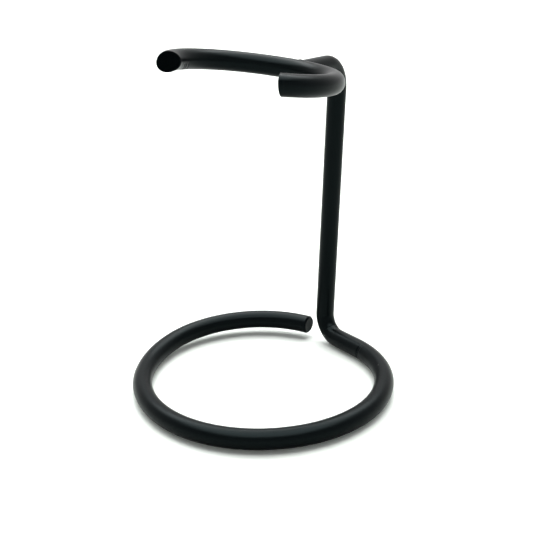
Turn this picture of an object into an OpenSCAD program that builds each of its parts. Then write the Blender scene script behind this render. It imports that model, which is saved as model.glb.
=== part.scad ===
// Razor stand. Two lengths of round rod are bent and welded together.
// The main rod lies on the floor as an open ring, turns up into a post and
// ends in a short arm. The second rod is an open C, the holder, in which the
// razor hangs by its head. The holder's mouth faces the front, which is -Y.
// The origin is on the floor, under the middle of the stand.

/* [Rod] */
// Diameter of both rods
rod_d = 6; // [5:0.5:6.5]
// Width of the chamfer round the base ring's free end
end_chamfer = 0.5; // [0.2:0.1:1]

/* [Base ring] */
// Length of rod between the foot bend and the ring
foot_run = 8.8; // [6:0.2:12]
// Direction in which that length leaves the foot bend, measured from +X
foot_heading = -20.7; // [-30:0.1:-10]
// Angle by which it sweeps outwards, against the ring's own turn
foot_sweep = 1.9; // [0.5:0.1:5]
// Radius of the ring's right quarter
ring_r_right = 35.3; // [32:0.1:38]
// Radius of the ring's front quarter
ring_r_front = 37.1; // [34:0.1:40]
// Radius of the ring's left quarter
ring_r_left = 41.2; // [38:0.1:44]
// Radius of the ring's rear arc, which ends in the free end
ring_r_rear = 33; // [30:0.1:36]
// Length of rod in each of the first three quarters
quarter_len = 55.4; // [50:0.1:58]
// Length of rod in the rear arc
rear_len = 51.2; // [40:0.1:53]
// Angle at which the ring leaves the floor towards its free end
end_lift = 2.6; // [0.5:0.1:4]
// Length of rod over which it starts to lift
lift_len = 6; // [2:0.5:10]

/* [Upright] */
// Place of the foot bend's lower end, to the right of the middle
foot_x = 6.4; // [0:0.1:12]
// Place of the foot bend's lower end, behind the middle
foot_y = 33.8; // [30:0.1:40]
// Radius of the bend from the floor into the post
foot_bend_r = 6.9; // [6.5:0.1:12]
// Angle of that bend
foot_bend = 91.8; // [85:0.1:95]
// Twist of that bend away from upright
foot_twist = 2.8; // [-5:0.1:5]
// Straight length of the post
post_len = 75.8; // [60:0.1:90]
// Radius of the bend from the post into the arm
top_bend_r = 7.8; // [6.5:0.1:12]
// Angle of that bend
top_bend = 89.4; // [85:0.1:95]
// Twist between the foot bend and the top bend
top_twist = -68; // [-80:0.1:-60]
// Length of the arm, from the top bend to the holder's centreline
arm_len = 14.3; // [10:0.1:20]

/* [Holder] */
// Radius of the holder on the rod's centreline
holder_r = 22.8; // [18:0.1:26]
// Angle that the rod covers to the left of the arm, on its centreline
holder_left = 128.6; // [100:0.1:135]
// Angle that the rod covers to the right of the arm, on its centreline
holder_right = 120.7; // [100:0.1:135]
// Angle by which the left end is cut off square, longer on the outside of the C
left_cut = 47.5; // [0:0.5:50]
// The same at the right end
right_cut = 34.5; // [0:0.5:50]
// Lean of both cuts, longer on top of the rod
cut_lean = 9; // [0:0.5:15]
// Turn of the holder to the left of the arm's own line
holder_yaw = 6.3; // [-10:0.1:10]
// Rise of the holder above the arm's own line
holder_rise = 4.7; // [0:0.1:12]
// Sideways tilt of the holder, to the right
holder_roll = 2.7; // [-6:0.1:6]

/* [Weld] */
// Thickness of the weld over the two rods
weld_cover = 0.35; // [0.2:0.05:0.6]
// Radius of the round fillet in the corners beside the arm
weld_corner_r = 3.9; // [3.5:0.1:4.5]
// Height of that fillet, across the arm
weld_corner_h = 3.6; // [2:0.1:5]

/* [Hidden] */
$fn = 96;
rod_r = rod_d / 2;
black = [0.07, 0.07, 0.075];

// The ring lifts off the floor after this share of its left quarter
lift_at = 0.6;

// The arm is cut square this far short of the holder's centreline, then coped
arm_cut = 1.2;

// Angles to each side of the arm, round the holder: the stretch that the weld may
// cover, and the longer stretch that cuts the arm and the weld to shape
weld_span = 20;
cope_span = 30;

// Angle by which the holder runs on past its ends before its slanted cuts, and the size
// of the block that makes them
tip_span = 14;
cutter_size = 24;

// How far a cutting shape runs past what it cuts
past_end = 1;
past_weld = 12;

// Every second stretch of a rod is thinner by a hair and laps into its neighbours,
// so that the stretches join into one solid
hair = 0.01;
lap = 0.2;
FULL = 0;
SLIM = 1;

// Angle of an arc from its length along the rod and its radius
function arc_angle(length, radius) = length / radius * 180 / PI;

// Radius of an arc from its length and its angle
function arc_radius(length, angle) = length / angle * 180 / PI;

// The left quarter turns and lifts at once over lift_len, in a plane between the two
left_turn = arc_angle(quarter_len, ring_r_left);
turn_in_lift = arc_angle(lift_len, ring_r_left);
lift_bend = norm([turn_in_lift, end_lift]);
lift_twist = atan(end_lift / turn_in_lift);

// Each row of a bend table is [straight length, bend radius, bend angle, twist, FULL or SLIM].
// The twist turns the rod about its own line before that straight begins.
ring_rows = [
    [0, arc_radius(foot_run, foot_sweep), foot_sweep, 180, SLIM],
    [0, ring_r_right, arc_angle(quarter_len, ring_r_right), 180, FULL],
    [0, ring_r_front, arc_angle(quarter_len, ring_r_front), 0, SLIM],
    [0, ring_r_left, left_turn * lift_at, 0, FULL],
    [0, arc_radius(lift_len, lift_bend), lift_bend, -lift_twist, SLIM],
    [0, ring_r_left, left_turn * (1 - lift_at) - turn_in_lift, lift_twist, FULL],
    [0, ring_r_rear, arc_angle(rear_len, ring_r_rear), 0, SLIM]
];
upright_rows = [
    [0, foot_bend_r, foot_bend, foot_twist - 90, FULL],
    [post_len, top_bend_r, top_bend, top_twist, FULL]
];

// A straight length of rod along +Z, lapped into the bends at its ends
module rod_straight(length) {
    if (length > 0)
        translate([0, 0, -lap]) cylinder(h = length + 2 * lap, r = rod_r - hair);
}

// A bend that starts along +Z at the origin and turns towards +X
module rod_bend(radius, angle, size) {
    lap_turn = size * arc_angle(lap, radius);
    translate([radius, 0, 0])
        rotate([90, 0, 180])
        rotate([0, 0, -lap_turn])
        rotate_extrude(angle = angle + 2 * lap_turn)
        translate([radius, 0])
        circle(r = rod_r - size * hair);
}

// Places its children at the far end of such a bend
module after_bend(radius, angle) {
    translate([radius, 0, 0])
        rotate([0, angle, 0])
        translate([-radius, 0, 0])
        children();
}

// Rod bent by a table
module rod_run(rows, i = 0) {
    if (i < len(rows)) {
        row = rows[i];
        rotate([0, 0, row[3]]) {
            rod_straight(row[0]);
            translate([0, 0, row[0]]) {
                rod_bend(row[1], row[2], row[4]);
                after_bend(row[1], row[2]) rod_run(rows, i + 1);
            }
        }
    }
}

// Places its children at the far end of a rod bent by a table
module after_run(rows, i = 0) {
    if (i < len(rows)) {
        row = rows[i];
        rotate([0, 0, row[3]])
            translate([0, 0, row[0]])
            after_bend(row[1], row[2])
            after_run(rows, i + 1)
            children();
    } else {
        children();
    }
}

// Ring that cuts the chamfer on an end that faces +Z
module end_cutter() {
    rotate_extrude()
        polygon([
            [rod_r - end_chamfer - past_end, past_end],
            [rod_r + past_end, -end_chamfer - past_end],
            [rod_r + past_end, past_end]
        ]);
}

// Frame at the foot, with +Z along the floor in a direction and +X to its right
module at_foot(direction) {
    translate([foot_x, foot_y, rod_r])
        rotate([0, 0, direction])
        rotate([-90, 0, 0])
        rotate([0, 90, 0])
        children();
}

// Frame where the arm meets the holder, with +Z along the arm and +X down
module at_weld() {
    at_foot(foot_heading + 180)
        after_run(upright_rows)
        translate([0, 0, arm_len])
        children();
}

// Frame at the holder's centre, with +Z up through it and +X back to the weld
module at_holder() {
    at_weld()
        rotate([holder_yaw, -holder_rise, -holder_roll])
        translate([0, 0, holder_r])
        rotate([0, 90, 180])
        children();
}

// Rod of a given radius round the holder's circle, from right to left of the weld
module holder_stretch(right, left, r) {
    at_holder()
        rotate([0, 0, -right])
        rotate_extrude(angle = right + left)
        translate([holder_r, 0])
        circle(r = r);
}

// Block that cuts the holder off at an angle round its circle. The side is 1 at the left
// end and -1 at the right.
module slanted_cutter(angle, side, cut) {
    rotate([0, 0, angle])
        translate([holder_r, 0, 0])
        rotate([-side * cut_lean, 0, side * cut])
        translate([0, side * cutter_size / 2, 0])
        cube(cutter_size, center = true);
}

// Base ring, foot bend, post, top bend and arm, all in one rod
module stand_rod() {
    color(black)
        difference() {
            union() {
                at_foot(foot_heading) rod_run(ring_rows);
                at_foot(foot_heading + 180) {
                    rod_run(upright_rows);
                    after_run(upright_rows) rod_straight(arm_len - arm_cut - lap);
                }
            }
            at_foot(foot_heading) after_run(ring_rows) end_cutter();
            holder_stretch(cope_span, cope_span, rod_r);
        }
}

// The open C that carries the razor
module holder_rod() {
    color(black)
        difference() {
            holder_stretch(holder_right + tip_span, holder_left + tip_span, rod_r);
            at_holder() {
                slanted_cutter(holder_left, 1, left_cut);
                slanted_cutter(-holder_right, -1, right_cut);
            }
        }
}

// Weld round the end of the arm: a thin cover with a fillet in each corner
module weld_bead() {
    reach = rod_r + weld_cover;
    color(black)
        difference() {
            union() {
                intersection() {
                    at_weld() translate([0, 0, -reach]) cylinder(h = reach - weld_cover, r = reach);
                    holder_stretch(weld_span, weld_span, reach);
                }
                at_weld()
                    translate([0, 0, arm_cut - weld_corner_r])
                    rotate([0, 90, 0])
                    cylinder(h = weld_corner_h, r = weld_corner_r, center = true);
            }
            holder_stretch(cope_span, cope_span, rod_r);
            at_weld() translate([0, 0, -past_weld]) cylinder(h = past_weld - arm_cut, r = rod_r);
        }
}

stand_rod();
holder_rod();
weld_bead();
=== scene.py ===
"""A razor stand of bent black rod: its looks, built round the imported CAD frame, in metres, +Z up.

The rods' bend tables repeat the design's own, since this file can't read it. Where the rods stand comes
from the frame's boxes, and a rod whose size isn't its CAD node's stops the script.
"""

import math

import bpy
import numpy as np
from mathutils import Matrix, Vector, noise


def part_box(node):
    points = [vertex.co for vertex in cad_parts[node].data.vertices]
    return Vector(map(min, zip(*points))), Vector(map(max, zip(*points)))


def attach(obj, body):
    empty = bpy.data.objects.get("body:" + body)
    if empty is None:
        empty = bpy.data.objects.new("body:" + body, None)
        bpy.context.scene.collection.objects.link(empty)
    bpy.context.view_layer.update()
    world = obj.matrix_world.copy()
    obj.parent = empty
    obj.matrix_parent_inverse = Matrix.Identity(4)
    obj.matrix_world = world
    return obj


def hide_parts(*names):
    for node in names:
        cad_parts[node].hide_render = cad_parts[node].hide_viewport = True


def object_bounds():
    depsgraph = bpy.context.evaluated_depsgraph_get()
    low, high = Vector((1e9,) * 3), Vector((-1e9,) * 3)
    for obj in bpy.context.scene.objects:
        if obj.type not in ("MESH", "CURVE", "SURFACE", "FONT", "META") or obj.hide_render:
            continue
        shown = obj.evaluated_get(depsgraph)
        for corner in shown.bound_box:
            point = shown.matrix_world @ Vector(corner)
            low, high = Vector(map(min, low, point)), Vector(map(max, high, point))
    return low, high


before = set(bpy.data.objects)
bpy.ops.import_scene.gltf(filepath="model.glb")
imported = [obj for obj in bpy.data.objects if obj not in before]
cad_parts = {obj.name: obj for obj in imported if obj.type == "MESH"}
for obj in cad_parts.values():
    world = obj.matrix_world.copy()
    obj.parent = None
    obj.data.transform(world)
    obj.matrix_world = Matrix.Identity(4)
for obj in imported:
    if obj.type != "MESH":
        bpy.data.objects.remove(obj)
CAD_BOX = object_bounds()

MM = 0.001
TINY = 1e-9

# Rod, and the chamfer, rounded edges and slight dish of its ends
ROD_R = 3 * MM
END_CHAMFER = 0.5 * MM
CHAMFER_ANGLE = 45
EDGE_ROUND = 0.12 * MM
FACE_DISH = 0.04 * MM

# A square end's rounded edges reach this far from its corners, so the rod's side begins this far back
ROUND_REACH = EDGE_ROUND * math.tan(math.radians(CHAMFER_ANGLE / 2))
END_SETBACK = END_CHAMFER + ROUND_REACH

# Base ring: a short run from the foot, three arcs of one length, and a rear arc. The third arc lifts off
# the floor after this share of it
FOOT_RUN = 8.8 * MM
FOOT_HEADING = -20.7
FOOT_SWEEP = 1.9
QUARTER = 55.4 * MM
REAR_LEN = 51.2 * MM
RING_RADII = (35.3 * MM, 37.1 * MM, 41.2 * MM, 33 * MM)
LIFT_AT = 0.6
LIFT_LEN = 6 * MM
END_LIFT = 2.6

# Foot bend and top bend as (radius, angle), post and arm
FOOT_BEND = (6.9 * MM, 91.8)
FOOT_TWIST = 2.8
POST_LEN = 75.8 * MM
TOP_BEND = (7.8 * MM, 89.4)
TOP_TWIST = -68
ARM_LEN = 14.3 * MM

# Holder, as it sits on the end of the arm, and the slanted cuts at its ends
HOLDER_R = 22.8 * MM
HOLDER_RIGHT = 120.7
HOLDER_LEFT = 128.6
HOLDER_YAW = 6.3
HOLDER_RISE = 4.7
HOLDER_ROLL = 2.7
RIGHT_CUT = 34.5
LEFT_CUT = 47.5
CUT_LEAN = 9

# Grooves and dents across the stand's rod: (place, width, depth, direction faced, spread in degrees).
# A place is a distance from the foot, and is negative on the ring
DIE_MARK = -13.7 * MM
NICK = -78.1 * MM
CREASED = 3.3 * MM
BEND_INSIDE = (0.45, -0.25, 0.86)
GROOVES = (
    (DIE_MARK, 0.24 * MM, 0.3 * MM, (-0.47, -0.87, 0.1), 46),
    (DIE_MARK - 0.9 * MM, 0.35 * MM, 0.1 * MM, (-0.35, -0.7, 0.6), 34),
    (NICK, 0.14 * MM, 0.06 * MM, (0.75, -0.64, 0.15), 15),
    (CREASED, 1.6 * MM, 0.07 * MM, BEND_INSIDE, 38),
    (CREASED - 0.9 * MM, 0.25 * MM, 0.05 * MM, BEND_INSIDE, 48),
    (CREASED + MM, 0.25 * MM, 0.05 * MM, BEND_INSIDE, 48),
)

# Slanted tool scratches near the holder's left end. Their angles round the holder hold at a level, which is
# an angle below the rod's middle. They run between two levels, and slope by this share of the change in it
SCRATCHES = (98.8, 102.5, 105.0)
SCRATCH_LEVEL = 60
SCRATCH_SPAN = (8, 75)
SCRATCH_SLOPE = 0.075
SCRATCH_WIDTH = 0.2 * MM
SCRATCH_DEPTH = 0.12 * MM

# Angles round the holder between which its sections lie close, and their spacing as a share of its length
SCRATCHED = (96, 124)
FINE_SHARE = 0.001

# Shallow waves in both rods
WAVE_DEPTH = 0.02 * MM

# The arm is coped over its last stretch, and ends a little inside the holder
ARM_REACH = 4.5 * MM
ARM_SUNK = 0.25 * MM

# Weld bead round the end of the arm, thick in the corners beside the arm and thin above and below it
BEAD_CORNER_R = 1.35 * MM
BEAD_TOP_R = 0.7 * MM
BEAD_SINK = 0.7 * MM
BEAD_SMOOTHING = 30
BEAD_RIPPLES = 40
BEAD_RIPPLE = 0.07 * MM
BEAD_SLANT = 2.2
BEAD_LUMP = 1.5 * MM
BEAD_UNEVEN = 0.06 * MM

# Mesh density: sections along a rod, across its small marks and along the bead, and points round each
STEP = 0.75 * MM
FINE_STEP = 0.1 * MM
AROUND = 96
BEAD_SECTIONS = 520
BEAD_AROUND = 48

# Rings on a cut face, as shares of its radius, and the material slots of the rod's side and its faces
FACE_STEPS = (0.2, 0.4, 0.6, 0.8, 0.92, 1)
SIDE, FACE = 0, 1

# A rod may differ from its CAD node's box by this much. The bead is let off, as the CAD's weld is simpler
SIZE_TOLERANCE = 0.3 * MM
UNMEASURED = ("weld_bead",)

# Coating: near black, and cool in its sheen
COAT_DARK = (0.0002, 0.0006, 0.0009, 1)
COAT_LIGHT = (0.0005, 0.0011, 0.0014, 1)
COAT_TINT = (0.74, 0.98, 1.0, 1)
COAT_SPECULAR = 0.055
COAT_ROUGH = (0.28, 0.35)
WELD_ROUGH = (0.36, 0.48)
END_ROUGH = (0.42, 0.54)
# Painted shade: the holder's slanted ends get a copy of the end coating that reflects almost nothing, so
# they stay dark
PAINTED_SHADE_SPECULAR = 0.004
PEEL_HEIGHT = 0.012 * MM
GRAIN_HEIGHT = 0.004 * MM
SAW_HEIGHT = 0.01 * MM

# Most of a noise's values lie between these
NOISE_MIDDLE = (0.3, 0.7)

# Scuffs: their colour, the noise values between which they fade in, and what they do to colour and roughness
SCUFF = (0.012, 0.013, 0.013, 1)
SCUFF_NOISE = (0.66, 0.82)
SCUFF_COVER = 0.35
SCUFF_ROUGH = 0.08

# Specks of dust, in the cells whose lot is between two values. Each fades out between two distances from its
# middle, as shares of a cell
DUST = (0.08, 0.08, 0.078, 1)
DUST_CELL = 7 * MM
DUST_SHIFT = Vector((9.15, -33.1, -1.4)) * MM
DUST_LOTS = (0.6, 0.72)
LOT_FADE = 0.05
DUST_EDGE = (0.02, 0.035)

# White paper under the stand
PAPER = ((0.77, 0.815, 0.775, 1), (0.79, 0.835, 0.795, 1))
FLOOR_SIZE = 8.0

# Camera: its direction and distance from a point near the middle of the stand
CAMERA_AZIMUTH = 35.0
CAMERA_ELEVATION = 20.82
CAMERA_ROLL = -1.9
CAMERA_DISTANCE = 286.05 * MM
CAMERA_AIM = Vector((3.38, -1.92, -12.15)) * MM
CAMERA_LENS = 65.37
SENSOR = 36.0

# Room: how bright the walls are, and the dark band above the camera. The band's lower edge fades in between
# two elevations, and its sides between two cosines of the angle from the camera
WALL_LIGHT = 1.15
BAND_LIGHT = 0.03
BAND_HEIGHT = (26, 36)
BAND_SIDES = (-0.1, 0.35)

# Lamps in each strip behind the stand, and the angle between them
STRIP_LAMPS = 7
STRIP_STEP = 16


# ---------------------------------------------------------------- rod routes

def turn(axis, degrees):
    """Rotation about an axis as a 4x4 array."""
    return np.array(Matrix.Rotation(math.radians(degrees), 4, axis))


def shift(x, y, z):
    """Translation as a 4x4 array."""
    return np.array(Matrix.Translation((x, y, z)))


def bend(radius, degrees):
    """From the start of a bend along +Z to a point on it, turning towards +X."""
    return shift(radius, 0, 0) @ turn("Y", degrees) @ shift(-radius, 0, 0)


class Route:
    """Centreline of a bent rod. Rows are [straight length, bend radius, bend angle, twist before them]."""

    def __init__(self, start, rows):
        self.stretches = []
        self.length = 0
        here, spin = start, 0
        for straight, radius, degrees, twist in rows:
            here = here @ turn("Z", twist)
            spin += twist
            for length, r in ((straight, None), (math.radians(degrees) * (radius or 0), radius)):
                if length > 0:
                    self.stretches.append((self.length, length, r, here, spin))
                    here = here @ self.along(length, r)
                    self.length += length
        self.end = here

    @staticmethod
    def along(length, radius):
        """From the start of a stretch to a place on it."""
        return bend(radius, arc_angle(length, radius)) if radius else shift(0, 0, length)

    def at(self, s):
        """Frame at a distance along the rod: +Z runs along it and X never spins round it."""
        for start, length, radius, here, spin in self.stretches:
            if s <= start + length + TINY:
                break
        return here @ self.along(s - start, radius) @ turn("Z", -spin)


def arc_angle(length, radius):
    """Angle in degrees of an arc from its length and radius."""
    return math.degrees(length / radius)


def arc_radius(length, degrees):
    """Radius of an arc from its length and angle."""
    return length / math.radians(degrees)


def foot(heading):
    """Frame at the foot, with +Z along the floor in a direction and +X to its right."""
    return turn("Z", heading) @ turn("X", -90) @ turn("Y", 90)


def stand_routes():
    """The ring and the upright, which leave the foot in opposite directions."""
    right_r, front_r, left_r, rear_r = RING_RADII
    left_turn = arc_angle(QUARTER, left_r)
    turn_in_lift = arc_angle(LIFT_LEN, left_r)
    lift_bend = math.hypot(turn_in_lift, END_LIFT)
    lift_twist = math.degrees(math.atan2(END_LIFT, turn_in_lift))
    ring = Route(foot(FOOT_HEADING), [
        [0, arc_radius(FOOT_RUN, FOOT_SWEEP), FOOT_SWEEP, 180],
        [0, right_r, arc_angle(QUARTER, right_r), 180],
        [0, front_r, arc_angle(QUARTER, front_r), 0],
        [0, left_r, left_turn * LIFT_AT, 0],
        [0, arc_radius(LIFT_LEN, lift_bend), lift_bend, -lift_twist],
        [0, left_r, left_turn * (1 - LIFT_AT) - turn_in_lift, lift_twist],
        [0, rear_r, arc_angle(REAR_LEN, rear_r), 0],
    ])
    upright = Route(foot(FOOT_HEADING + 180), [
        [0, *FOOT_BEND, FOOT_TWIST - 90],
        [POST_LEN, *TOP_BEND, TOP_TWIST],
        [ARM_LEN, None, 0, 0],
    ])
    return ring, upright


def holder_centre(weld):
    """Frame at the holder's centre, with +Z up through it and +X back to the weld."""
    tilt = turn("Z", -HOLDER_ROLL) @ turn("Y", -HOLDER_RISE) @ turn("X", HOLDER_YAW)
    return weld @ tilt @ shift(0, 0, HOLDER_R) @ turn("Z", 180) @ turn("Y", 90)


def cut_angles(out, up, side):
    """Angles round the holder at which lines along its rod, this far out and up, meet an end's slanted cut.

    side is +1 for the left end and -1 for the right. The cut is the plane through the centreline at that
    end with normal (x, y, z). A line is an arc about the holder's axis, so it meets the plane twice, and
    the meeting kept is the one at the end.
    """
    at, cut = (HOLDER_LEFT, LEFT_CUT) if side > 0 else (-HOLDER_RIGHT, RIGHT_CUT)
    x, y, z = (turn("Z", at + side * cut) @ turn("X", -side * CUT_LEAN))[:3, 1] * side
    a = math.radians(at)
    level = HOLDER_R * (x * math.cos(a) + y * math.sin(a)) - z * up
    found = math.atan2(y, x) - side * np.arccos(level / ((HOLDER_R + out) * math.hypot(x, y)))
    return found + 2 * math.pi * np.round((a - found) / (2 * math.pi))


# ---------------------------------------------------------------- marks in the surface

def bell(x, width):
    """1 at x = 0, falling smoothly to 0 over about two widths."""
    return np.exp(-(x / width) ** 2)


def facing(normals, direction, spread):
    """1 where a normal looks along a direction, falling to 0 at about a spread in degrees."""
    aim = np.array(direction) / np.linalg.norm(direction)
    angle = np.degrees(np.arccos(np.clip(normals @ aim, -1, 1)))
    softness = 4
    return 1 / (1 + np.exp((angle - spread) / softness))


def waviness(points, size):
    """Shallow unevenness of the bent rod and its coating, never above the true surface."""
    return np.array([WAVE_DEPTH / 2 * (1 + noise.noise(Vector(p) / size)) for p in points])


def stand_depth(s, points, normals):
    """How far the stand rod's surface is sunk by its marks."""
    sunk = waviness(points, 7 * MM)
    for at, width, depth, direction, spread in GROOVES:
        sunk += bell(s - at, width) * depth * facing(normals, direction, spread)
    return sunk


def holder_depth(angles, points, under):
    """How far the holder's surface is sunk by its marks. under holds the points' levels on the rod."""
    sunk = waviness(points, 6 * MM)
    low, high = SCRATCH_SPAN
    fade = 10
    reach = np.clip((under - low) / fade, 0, 1) * np.clip((high - under) / fade, 0, 1)
    for angle in SCRATCHES:
        offset = np.degrees(angles) - angle - (SCRATCH_LEVEL - under) * SCRATCH_SLOPE
        sunk += bell(np.radians(offset) * HOLDER_R, SCRATCH_WIDTH) * SCRATCH_DEPTH * reach
    return sunk


# ---------------------------------------------------------------- meshes

def places(length, marks):
    """Distances along a rod at which it gets a section, closer together across each (place, reach) mark."""
    found = list(np.linspace(0, length, math.ceil(length / STEP) + 1))
    for at, reach in marks:
        found += list(np.arange(max(at - reach, 0), min(at + reach, length), FINE_STEP))
    found = sorted(found)
    return [a for a, b in zip(found, found[1:] + [math.inf]) if b - a > FINE_STEP / 4]


def circle(radius):
    """Points round a section, in its own plane, as columns of a 4-row array."""
    angles = np.linspace(0, 2 * math.pi, AROUND, endpoint=False)
    return np.array([radius * np.cos(angles), radius * np.sin(angles), 0 * angles, np.ones(AROUND)])


def rounded_edge(middle_r, middle_setback, start, sweep, steps):
    """(radius, setback) along a rounded edge, from its arc's middle and angles, after its first point."""
    rows = []
    for k in range(1, steps + 1):
        a = math.radians(start + sweep * k / steps)
        rows.append((middle_r + EDGE_ROUND * math.cos(a), middle_setback + EDGE_ROUND * math.sin(a)))
    return rows


def square_profile():
    """(radius, setback) from the middle of a square end, over its dished face and chamfer, to its side."""
    face_r = ROD_R - END_CHAMFER - ROUND_REACH
    return [
        *((face_r * k, FACE_DISH * (1 - k * k)) for k in FACE_STEPS),
        *rounded_edge(face_r, EDGE_ROUND, -90, CHAMFER_ANGLE, 5),
        (ROD_R - END_CHAMFER / 2, END_CHAMFER / 2),
        *rounded_edge(ROD_R - EDGE_ROUND, END_SETBACK, CHAMFER_ANGLE - 90, CHAMFER_ANGLE, 5),
    ]


def slanted_profile():
    """(radius, setback along the rod) from the middle of a slanted cut to its side."""
    face_r = ROD_R - EDGE_ROUND
    return [(face_r * k, 0) for k in FACE_STEPS] + rounded_edge(face_r, EDGE_ROUND, -90, 90, 6)


def square_end(f):
    """Middle point and rings of a square end, from its middle outwards. The rod runs along +Z from it."""
    rows = square_profile()
    rings = [(f @ shift(0, 0, setback) @ circle(r))[:3].T for r, setback in rows]
    return (f @ shift(0, 0, rows[0][1]))[:3, 3], rings


def stand_sides(sections, end):
    """Rings along the stand's rod, sunk by its marks, which fade out towards its square end."""
    rings = []
    unit = circle(1)
    for s, f in sections:
        from_side = abs(s - end) - END_SETBACK
        if from_side < FINE_STEP:
            continue
        normals = (f[:3, :3] @ unit[:3]).T
        points = f[:3, 3] + normals * ROD_R
        fade = min(1, from_side / MM)
        rings.append(points - normals * (stand_depth(s, points, normals) * fade)[:, None])
    return rings


def rod_mesh(name, first, rings, last, materials, face_rings):
    """Closed mesh from a middle point, rings and a middle point. face_rings counts each face's rings."""
    verts = np.concatenate([[first], *rings, [last]])
    gaps = len(rings) - 1
    at_first, at_last = face_rings
    faces = [(0, 1 + (j + 1) % AROUND, 1 + j) for j in range(AROUND)]
    for i in range(gaps):
        a, b = 1 + i * AROUND, 1 + (i + 1) * AROUND
        for j in range(AROUND):
            k = (j + 1) % AROUND
            faces.append((a + j, a + k, b + k, b + j))
    a = 1 + gaps * AROUND
    faces += [(a + j, a + (j + 1) % AROUND, len(verts) - 1) for j in range(AROUND)]
    on_face = [at_first > 0, *(i < at_first - 1 or i > gaps - at_last for i in range(gaps)), at_last > 0]
    slots = [FACE if on else SIDE for on in on_face for _ in range(AROUND)]
    return make_object(name, verts, faces, materials, slots)


def make_object(name, verts, faces, materials, slots=None):
    """Smooth-shaded mesh object whose faces look outwards."""
    mesh = bpy.data.meshes.new(name)
    mesh.from_pydata([tuple(v) for v in verts], [], faces)
    for material in materials:
        mesh.materials.append(material)
    if slots:
        mesh.polygons.foreach_set("material_index", slots)
    mesh.polygons.foreach_set("use_smooth", [True] * len(faces))
    mesh.update()
    piece = bpy.data.objects.new(name, mesh)
    bpy.context.scene.collection.objects.link(piece)
    return piece


# ---------------------------------------------------------------- pieces

def to_holder(points, centre):
    """Distance of points from the holder's centreline, and the directions from it to them."""
    local = (np.linalg.inv(centre) @ np.c_[points, np.ones(len(points))].T)[:3].T
    flat = local[:, :2] / np.linalg.norm(local[:, :2], axis=1)[:, None]
    nearest = np.c_[flat * HOLDER_R, np.zeros(len(points))]
    away = (local - nearest) @ centre[:3, :3].T
    distance = np.linalg.norm(away, axis=1)
    return distance, away / distance[:, None]


def meet_holder(points, direction, centre, sunk):
    """Points moved along the arm until they are sunk this far into the holder, or as near as they get."""
    steps = 500
    travel = np.linspace(0, ARM_REACH, steps)
    gaps = np.array([to_holder(points + direction * t, centre)[0] for t in travel])
    inside = gaps < ROD_R - sunk
    index = np.where(inside.any(0), inside.argmax(0), gaps.argmin(0))
    return points + direction * travel[index][:, None]


def coped_end(upright, centre):
    """Rings that end the arm in a fish mouth, a little inside the holder, and its middle point."""
    f = upright.at(upright.length - ARM_REACH)
    direction = f[:3, 2]
    start = (f @ circle(ROD_R))[:3].T
    finish = meet_holder(start, direction, centre, ARM_SUNK)
    rings = [start + (finish - start) * k for k in np.linspace(0, 1, 8)[1:]]
    for k in (0.75, 0.5, 0.25):
        rings.append(meet_holder((f @ circle(ROD_R * k))[:3].T, direction, centre, ARM_SUNK))
    return rings, meet_holder(f[:3, 3][None], direction, centre, ARM_SUNK)[0]


def stand_rod(materials, ring, upright, centre):
    """Base ring, foot bend, post, top bend and arm as one rod."""
    ring_places = places(ring.length, [(-DIE_MARK, 2 * MM), (-NICK, MM)])
    upright_places = places(upright.length - ARM_REACH, [(CREASED, 3.2 * MM)])
    back = turn("Y", 180)
    sections = [(-s, ring.at(s) @ back) for s in reversed(ring_places)]
    sections += [(s, upright.at(s)) for s in upright_places[1:]]
    first, rings = square_end(ring.at(ring.length) @ back)
    rings += stand_sides(sections, -ring.length)
    coped, last = coped_end(upright, centre)
    return rod_mesh("razor_stand_rod", first, rings + coped, last, materials, (len(FACE_STEPS), 0))


def holder_shares():
    """Places of the holder's sections, as shares of its length, closer together across the scratches."""
    total = HOLDER_RIGHT + HOLDER_LEFT
    fine = np.arange(*((a + HOLDER_RIGHT) / total for a in SCRATCHED), FINE_SHARE)
    coarse = np.linspace(0, 1, math.ceil(math.radians(total) * HOLDER_R / STEP))[1:-1]
    clear = 2 * FINE_SHARE
    coarse = coarse[(coarse < fine[0] - clear) | (coarse > fine[-1] + clear)]
    return sorted([*coarse, *fine])


def holder_rod(materials, centre):
    """The open C that carries the razor, from its right end to its left."""
    # The rod's section and its points' levels. Only the inside of the C is scratched
    round_rod = circle(1)[:2]
    under = -np.degrees(np.arcsin(round_rod[1]))
    under[round_rod[0] > 0] = -90

    def ring(angles, radius):
        out, up = round_rod * radius
        flat = HOLDER_R + out
        points = np.array([flat * np.cos(angles), flat * np.sin(angles), up, np.ones(AROUND)])
        return (centre @ points)[:3].T

    def cut_end(side):
        a = cut_angles(0, 0, side)
        middle = (centre @ [HOLDER_R * math.cos(a), HOLDER_R * math.sin(a), 0, 1])[:3]
        rings = []
        for r, setback in slanted_profile():
            angles = cut_angles(*(round_rod * r), side) - side * setback / HOLDER_R
            rings.append(ring(angles, r))
        return middle, rings, angles

    right, right_face, first = cut_end(-1)
    left, left_face, last = cut_end(1)
    body = []
    fade_share = 0.02
    for k in holder_shares():
        angles = first + (last - first) * k
        fade = min(1, k / fade_share, (1 - k) / fade_share)
        body.append(ring(angles, ROD_R - holder_depth(angles, ring(angles, ROD_R), under) * fade))
    rings = right_face + body + left_face[::-1]
    return rod_mesh("razor_holder_rod", right, rings, left, materials, (len(FACE_STEPS), len(FACE_STEPS)))


def unit_rows(rows):
    """Rows of an array, each made 1 long."""
    return rows / np.linalg.norm(rows, axis=1)[:, None]


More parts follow.
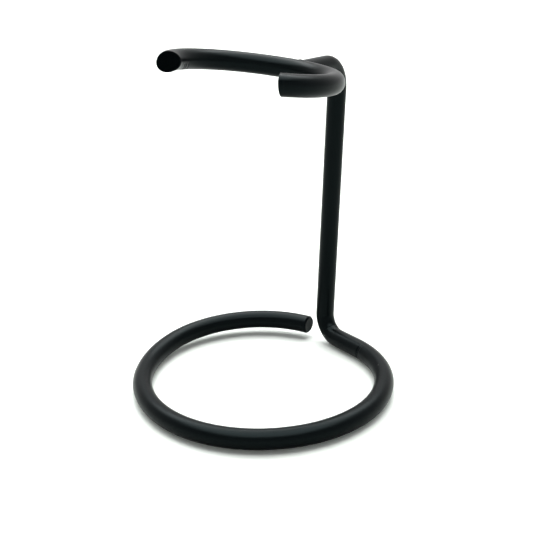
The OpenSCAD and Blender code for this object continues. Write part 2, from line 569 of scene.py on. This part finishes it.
def weld_path(turns, upright, centre):
    """Middles and radii of the weld bead's sections round the joint, and the directions out of it."""
    f = upright.at(upright.length - ARM_REACH)
    radial = (f[:3, :3] @ np.array([np.cos(turns), np.sin(turns), 0 * turns])).T
    joint = meet_holder(f[:3, 3] + radial * ROD_R, f[:3, 2], centre, sunk=0.02 * MM)
    for _ in range(BEAD_SMOOTHING):
        joint = (np.roll(joint, 1, 0) + 2 * joint + np.roll(joint, -1, 0)) / 4
    _, away = to_holder(joint, centre)
    out = unit_rows(radial + away)
    corner = np.clip(1 - (radial * away).sum(1), 0, 1)
    middles = joint - out * ((1 - corner) * BEAD_SINK)[:, None]
    return middles, BEAD_TOP_R + (BEAD_CORNER_R - BEAD_TOP_R) * corner, out


def weld_bead(materials, upright, centre):
    """A rippled bead laid round the arm where it meets the holder."""
    turns = np.linspace(0, 2 * math.pi, BEAD_SECTIONS, endpoint=False)
    middles, radii, out = weld_path(turns, upright, centre)
    tangent = unit_rows(np.roll(middles, -1, 0) - np.roll(middles, 1, 0))
    side = unit_rows(np.cross(tangent, out))
    up = np.cross(side, tangent)
    verts = []
    for i in range(BEAD_SECTIONS):
        uneven = noise.noise(Vector(middles[i]) / BEAD_LUMP) * BEAD_UNEVEN
        for j in range(BEAD_AROUND):
            a = 2 * math.pi * j / BEAD_AROUND
            phase = turns[i] * BEAD_RIPPLES - BEAD_SLANT * math.cos(a)
            r = radii[i] + BEAD_RIPPLE * (abs(math.sin(phase / 2)) - 1) + uneven
            verts.append(middles[i] + r * (up[i] * math.cos(a) + side[i] * math.sin(a)))
    faces = []
    for i in range(BEAD_SECTIONS):
        a, b = i * BEAD_AROUND, (i + 1) % BEAD_SECTIONS * BEAD_AROUND
        for j in range(BEAD_AROUND):
            k = (j + 1) % BEAD_AROUND
            faces.append((a + j, a + k, b + k, b + j))
    return make_object("razor_weld_bead", verts, faces, materials)


# ---------------------------------------------------------------- materials

class Tree:
    """A node tree whose nodes are added one line at a time."""

    def __init__(self, tree):
        self.tree = tree

    def set(self, socket, value):
        """Links an output to a socket, or sets the socket's own value."""
        if isinstance(value, bpy.types.NodeSocket):
            self.tree.links.new(value, socket)
        else:
            socket.default_value = value

    def node(self, kind, *values, settings=None, **inputs):
        """A node with its settings, and inputs in order or by name: values, or other nodes' outputs."""
        made = self.tree.nodes.new(kind)
        for key, value in (settings or {}).items():
            setattr(made, key, value)
        for socket, value in zip(made.inputs, values):
            self.set(socket, value)
        for key, value in inputs.items():
            self.set(made.inputs[key], value)
        return made

    def math(self, operation, a, b):
        """Two values joined by an operation."""
        return self.node("ShaderNodeMath", a, b, settings={"operation": operation}).outputs[0]

    def ramp(self, value, low, high, to_low=0.0, to_high=1.0, kind="SMOOTHSTEP"):
        """Value between low and high carried to another range, without overshoot."""
        made = self.node("ShaderNodeMapRange", value, low, high, to_low, to_high,
                         settings={"interpolation_type": kind})
        return made.outputs["Result"]


class Shader(Tree):
    """The node tree of a new material, with noise placed by object coordinates."""

    def __init__(self, name):
        self.material = bpy.data.materials.new(name)
        self.material.use_nodes = True
        super().__init__(self.material.node_tree)
        self.place = self.node("ShaderNodeTexCoord").outputs["Object"]

    def noise(self, size, detail=2.0, roughness=0.5, vector=None):
        """Noise whose lumps are about this size, from 0 to 1."""
        return self.node("ShaderNodeTexNoise", Vector=vector or self.place, Scale=1 / size, Detail=detail,
                         Roughness=roughness).outputs["Fac"]

    def moved(self, **change):
        """The place, moved or stretched."""
        return self.node("ShaderNodeMapping", Vector=self.place, **change).outputs[0]

    def mix(self, factor, a, b):
        """Colour a carried towards colour b."""
        made = self.node("ShaderNodeMix", factor, settings={"data_type": "RGBA"})
        colour_a, colour_b = made.inputs[6:8]
        self.set(colour_a, a)
        self.set(colour_b, b)
        return made.outputs[2]

    def bump(self, height, distance, **normal):
        """Normal for a surface that rises by this distance where the height is 1."""
        return self.node("ShaderNodeBump", Height=height, Distance=distance, **normal).outputs["Normal"]

    def finish(self, colour, roughness, normal, specular, tint=None):
        """Wires the surface and returns the material."""
        inputs = self.tree.nodes["Principled BSDF"].inputs
        self.set(inputs["Base Color"], colour)
        self.set(inputs["Roughness"], roughness)
        self.set(inputs["Normal"], normal)
        inputs["Specular IOR Level"].default_value = specular
        if tint:
            inputs["Specular Tint"].default_value = tint
        return self.material


def dust_specks(s):
    """1 on a few specks of dust, each in a cell of its own, and 0 between them."""
    cells = s.node("ShaderNodeTexVoronoi", Vector=s.moved(Location=DUST_SHIFT), Scale=1 / DUST_CELL)
    lot = s.node("ShaderNodeSeparateColor", cells.outputs["Color"]).outputs["Red"]
    low, high = DUST_LOTS
    picked = s.math("MULTIPLY", s.ramp(lot, low - LOT_FADE, low), s.ramp(lot, high, high + LOT_FADE, 1, 0))
    return s.math("MULTIPLY", s.ramp(cells.outputs["Distance"], *DUST_EDGE, 1, 0), picked)


def satin_coat(name, rough, lumps=1.0):
    """Satin black coating: fine grain, orange peel, cloudy sheen, faint scuffs and specks of dust."""
    s = Shader(name)
    clouds = s.noise(14 * MM, detail=3)
    peel = s.noise(1.1 * MM)
    grain = s.noise(0.22 * MM, roughness=0.6)
    drawn_out = s.moved(Scale=(1, 1, 0.12))
    scuffs = s.ramp(s.noise(1.6 * MM, detail=4, roughness=0.7, vector=drawn_out), *SCUFF_NOISE)
    colour = s.mix(clouds, COAT_DARK, COAT_LIGHT)
    colour = s.mix(s.math("MULTIPLY", scuffs, SCUFF_COVER), colour, SCUFF)
    colour = s.mix(dust_specks(s), colour, DUST)
    sheen = s.math("ADD", s.math("MULTIPLY", clouds, 0.6), s.math("MULTIPLY", grain, 0.4))
    roughness = s.math("ADD", s.ramp(sheen, *NOISE_MIDDLE, *rough), s.math("MULTIPLY", scuffs, SCUFF_ROUGH))
    normal = s.bump(grain, GRAIN_HEIGHT, Normal=s.bump(peel, PEEL_HEIGHT * lumps))
    return s.finish(colour, roughness, normal, COAT_SPECULAR, COAT_TINT)


def coated_end(name, specular):
    """The same coating over a sawn end: duller, with the saw's fine parallel lines showing through."""
    s = Shader(name)
    clouds = s.noise(2.5 * MM, detail=3)
    grain = s.noise(0.18 * MM, roughness=0.6)
    saw = s.noise(0.16 * MM, detail=3, vector=s.moved(Scale=(0.15, 0.15, 1)))
    normal = s.bump(grain, GRAIN_HEIGHT, Normal=s.bump(saw, SAW_HEIGHT))
    roughness = s.ramp(clouds, *NOISE_MIDDLE, *END_ROUGH)
    return s.finish(s.mix(clouds, COAT_DARK, COAT_LIGHT), roughness, normal, specular, COAT_TINT)


def paper():
    """White paper with faint fibres."""
    s = Shader("white_paper")
    fibres = s.noise(0.8 * MM, detail=4)
    return s.finish(s.mix(fibres, *PAPER), roughness=0.9, normal=s.bump(fibres, 0.005 * MM), specular=0.1)


# ---------------------------------------------------------------- assembly

def box_of(piece):
    """Lowest and highest corner of a new piece."""
    points = np.array([v.co for v in piece.data.vertices])
    return np.array([points.min(0), points.max(0)])


def stand_on_frame(parts):
    """Moves the pieces together so that the first lies in its CAD node's box, and checks each one."""
    first_piece, first_node, _ = parts[0]
    offset = (np.array(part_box(first_node)) - box_of(first_piece)).mean(0)
    for piece, node, _ in parts:
        piece.data.transform(Matrix.Translation(offset))
        error = np.abs(box_of(piece) - np.array(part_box(node))).max()
        print(f"{piece.name}: {error / MM:.3f} mm from {node}")
        if error > SIZE_TOLERANCE and node not in UNMEASURED:
            raise ValueError(f"{piece.name} is {error / MM:.2f} mm off its CAD node {node}")


def add_stand():
    """The two rods and the weld, each riding on the one body in place of its CAD node."""
    ring, upright = stand_routes()
    centre = holder_centre(upright.end)
    coat = satin_coat("satin_black_coat", COAT_ROUGH)
    ring_end = coated_end("coated_square_end", COAT_SPECULAR)
    # Painted shade: the same end coating with its reflection cut almost to nothing, which keeps the slanted
    # ends dark
    holder_end_painted_shade = coated_end("coated_slanted_end_painted_shade", PAINTED_SHADE_SPECULAR)
    weld_coat = satin_coat("coated_weld", WELD_ROUGH, lumps=1.6)
    parts = (
        (stand_rod([coat, ring_end], ring, upright, centre), "stand_rod", "black_coating"),
        (holder_rod([coat, holder_end_painted_shade], centre), "holder_rod", "black_coating"),
        (weld_bead([weld_coat], upright, centre), "weld_bead", "coated_weld"),
    )
    stand_on_frame(parts)
    for piece, node, slot in parts:
        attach(piece, "root")
        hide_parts(node)


# ---------------------------------------------------------------- stage, light and camera

def add_floor():
    """A wide sheet of white paper at the height of the stand's lowest point."""
    z, half = CAD_BOX[0].z, FLOOR_SIZE / 2
    corners = [(-half, -half, z), (half, -half, z), (half, half, z), (-half, half, z)]
    floor = make_object("paper_floor", corners, [(0, 1, 2, 3)], [paper()])


def bearing(azimuth, elevation):
    """Unit vector towards a place in the studio. Azimuth 0 is the front, -Y, and 90 is +X."""
    a, e = math.radians(azimuth), math.radians(elevation)
    return Vector((math.sin(a) * math.cos(e), -math.cos(a) * math.cos(e), math.sin(e)))


def add_panel(name, azimuth, elevation, spread, energy, glossy=True, diffuse=True):
    """A far, round, soft light panel that looks this many degrees across."""
    light = bpy.data.lights.new(name, "SUN")
    light.angle = math.radians(spread)
    light.energy = energy
    lamp = bpy.data.objects.new(name, light)
    bpy.context.scene.collection.objects.link(lamp)
    lamp.visible_glossy = glossy
    lamp.visible_diffuse = diffuse
    lamp.rotation_mode = "QUATERNION"
    lamp.rotation_quaternion = bearing(azimuth, elevation).to_track_quat("Z", "Y")


def add_lights():
    """Two strips behind the stand and two panels overhead: one of each for shadows, one for sheen."""
    behind = CAMERA_AZIMUTH + 180
    for lamp in range(STRIP_LAMPS):
        azimuth = behind + STRIP_STEP * (lamp - STRIP_LAMPS // 2)
        add_panel(f"shadow_strip_{lamp}", azimuth, elevation=42, spread=30, energy=0.6, glossy=False)
        add_panel(f"sheen_strip_{lamp}", azimuth, elevation=47, spread=16, energy=0.5, diffuse=False)
    add_panel("shadow_ceiling", behind, elevation=73, spread=30, energy=1.8, glossy=False)
    add_panel("sheen_ceiling", CAMERA_AZIMUTH, elevation=88, spread=76, energy=9.5, diffuse=False)


def add_room():
    """White walls, with a dark band over the camera between the wall there and the ceiling panel."""
    world = bpy.data.worlds.new("room")
    bpy.context.scene.world = world
    world.use_nodes = True
    room = Tree(world.node_tree)
    place = room.node("ShaderNodeTexCoord").outputs["Generated"]
    height = room.node("ShaderNodeSeparateXYZ", place).outputs["Z"]
    camera_side = room.node("ShaderNodeVectorMath", place, bearing(CAMERA_AZIMUTH, 0),
                            settings={"operation": "DOT_PRODUCT"}).outputs["Value"]
    above = room.ramp(height, *(math.sin(math.radians(a)) for a in BAND_HEIGHT))
    band = room.math("MULTIPLY", above, room.ramp(camera_side, *BAND_SIDES))
    background = world.node_tree.nodes["Background"]
    background.inputs["Color"].default_value = (1, 1, 1, 1)
    room.set(background.inputs["Strength"], room.ramp(band, 0, 1, WALL_LIGHT, BAND_LIGHT, kind="LINEAR"))


def add_camera():
    """The camera, on the side that the holder's mouth half faces."""
    data = bpy.data.cameras.new("camera")
    data.lens = CAMERA_LENS
    data.sensor_width = SENSOR
    camera = bpy.data.objects.new("camera", data)
    bpy.context.scene.collection.objects.link(camera)
    towards = bearing(CAMERA_AZIMUTH, CAMERA_ELEVATION)
    place = (CAD_BOX[0] + CAD_BOX[1]) / 2 + CAMERA_AIM + towards * CAMERA_DISTANCE
    looking = towards.to_track_quat("Z", "Y").to_matrix().to_4x4()
    roll = Matrix.Rotation(math.radians(CAMERA_ROLL), 4, "Z")
    camera.matrix_world = Matrix.Translation(place) @ looking @ roll
    bpy.context.scene.camera = camera


add_stand()
add_floor()
add_lights()
add_room()
add_camera()
bpy.context.scene.view_settings.view_transform = "Standard"
